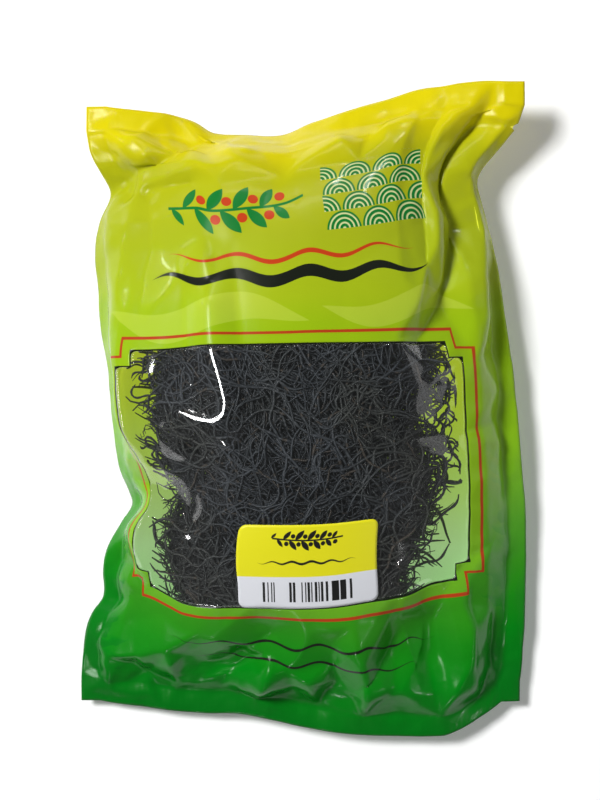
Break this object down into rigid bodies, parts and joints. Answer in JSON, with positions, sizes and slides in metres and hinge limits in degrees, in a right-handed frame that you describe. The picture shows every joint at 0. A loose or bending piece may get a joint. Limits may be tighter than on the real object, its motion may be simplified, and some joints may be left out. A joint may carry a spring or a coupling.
{
  "type": "packet of dried sargassum seaweed",
  "caption": "Heat-sealed film packet lying on its back, full of a tangle of dried sargassum strands seen through a clear stepped window, with a paper label on its face.",
  "frame": {"origin": "middle of the packet's bounding box, on the table that its back rests on", "axes": "+X to the packet's right as its face is seen, +Y to its top edge, +Z out of its face, up from the table"},
  "size_m": [0.161, 0.2342, 0.0531],
  "materials": {
    "printed_film": "glossy packaging film printed from yellow at the top through lime to dark green at the foot",
    "clear_film": "clear glossy packaging film, not glass",
    "plain_film": "glossy packaging film",
    "label_paper": "satin coated paper, yellow over white",
    "dried_seaweed": "dry, wiry, near-black strands with a faint grey bloom"
  },
  "bodies": {
    "root": {"front_film": "printed_film", "window_film": "clear_film", "back_film": "plain_film", "label": "label_paper", "seaweed_tangle": "dried_seaweed"}
  },
  "joints": []
}
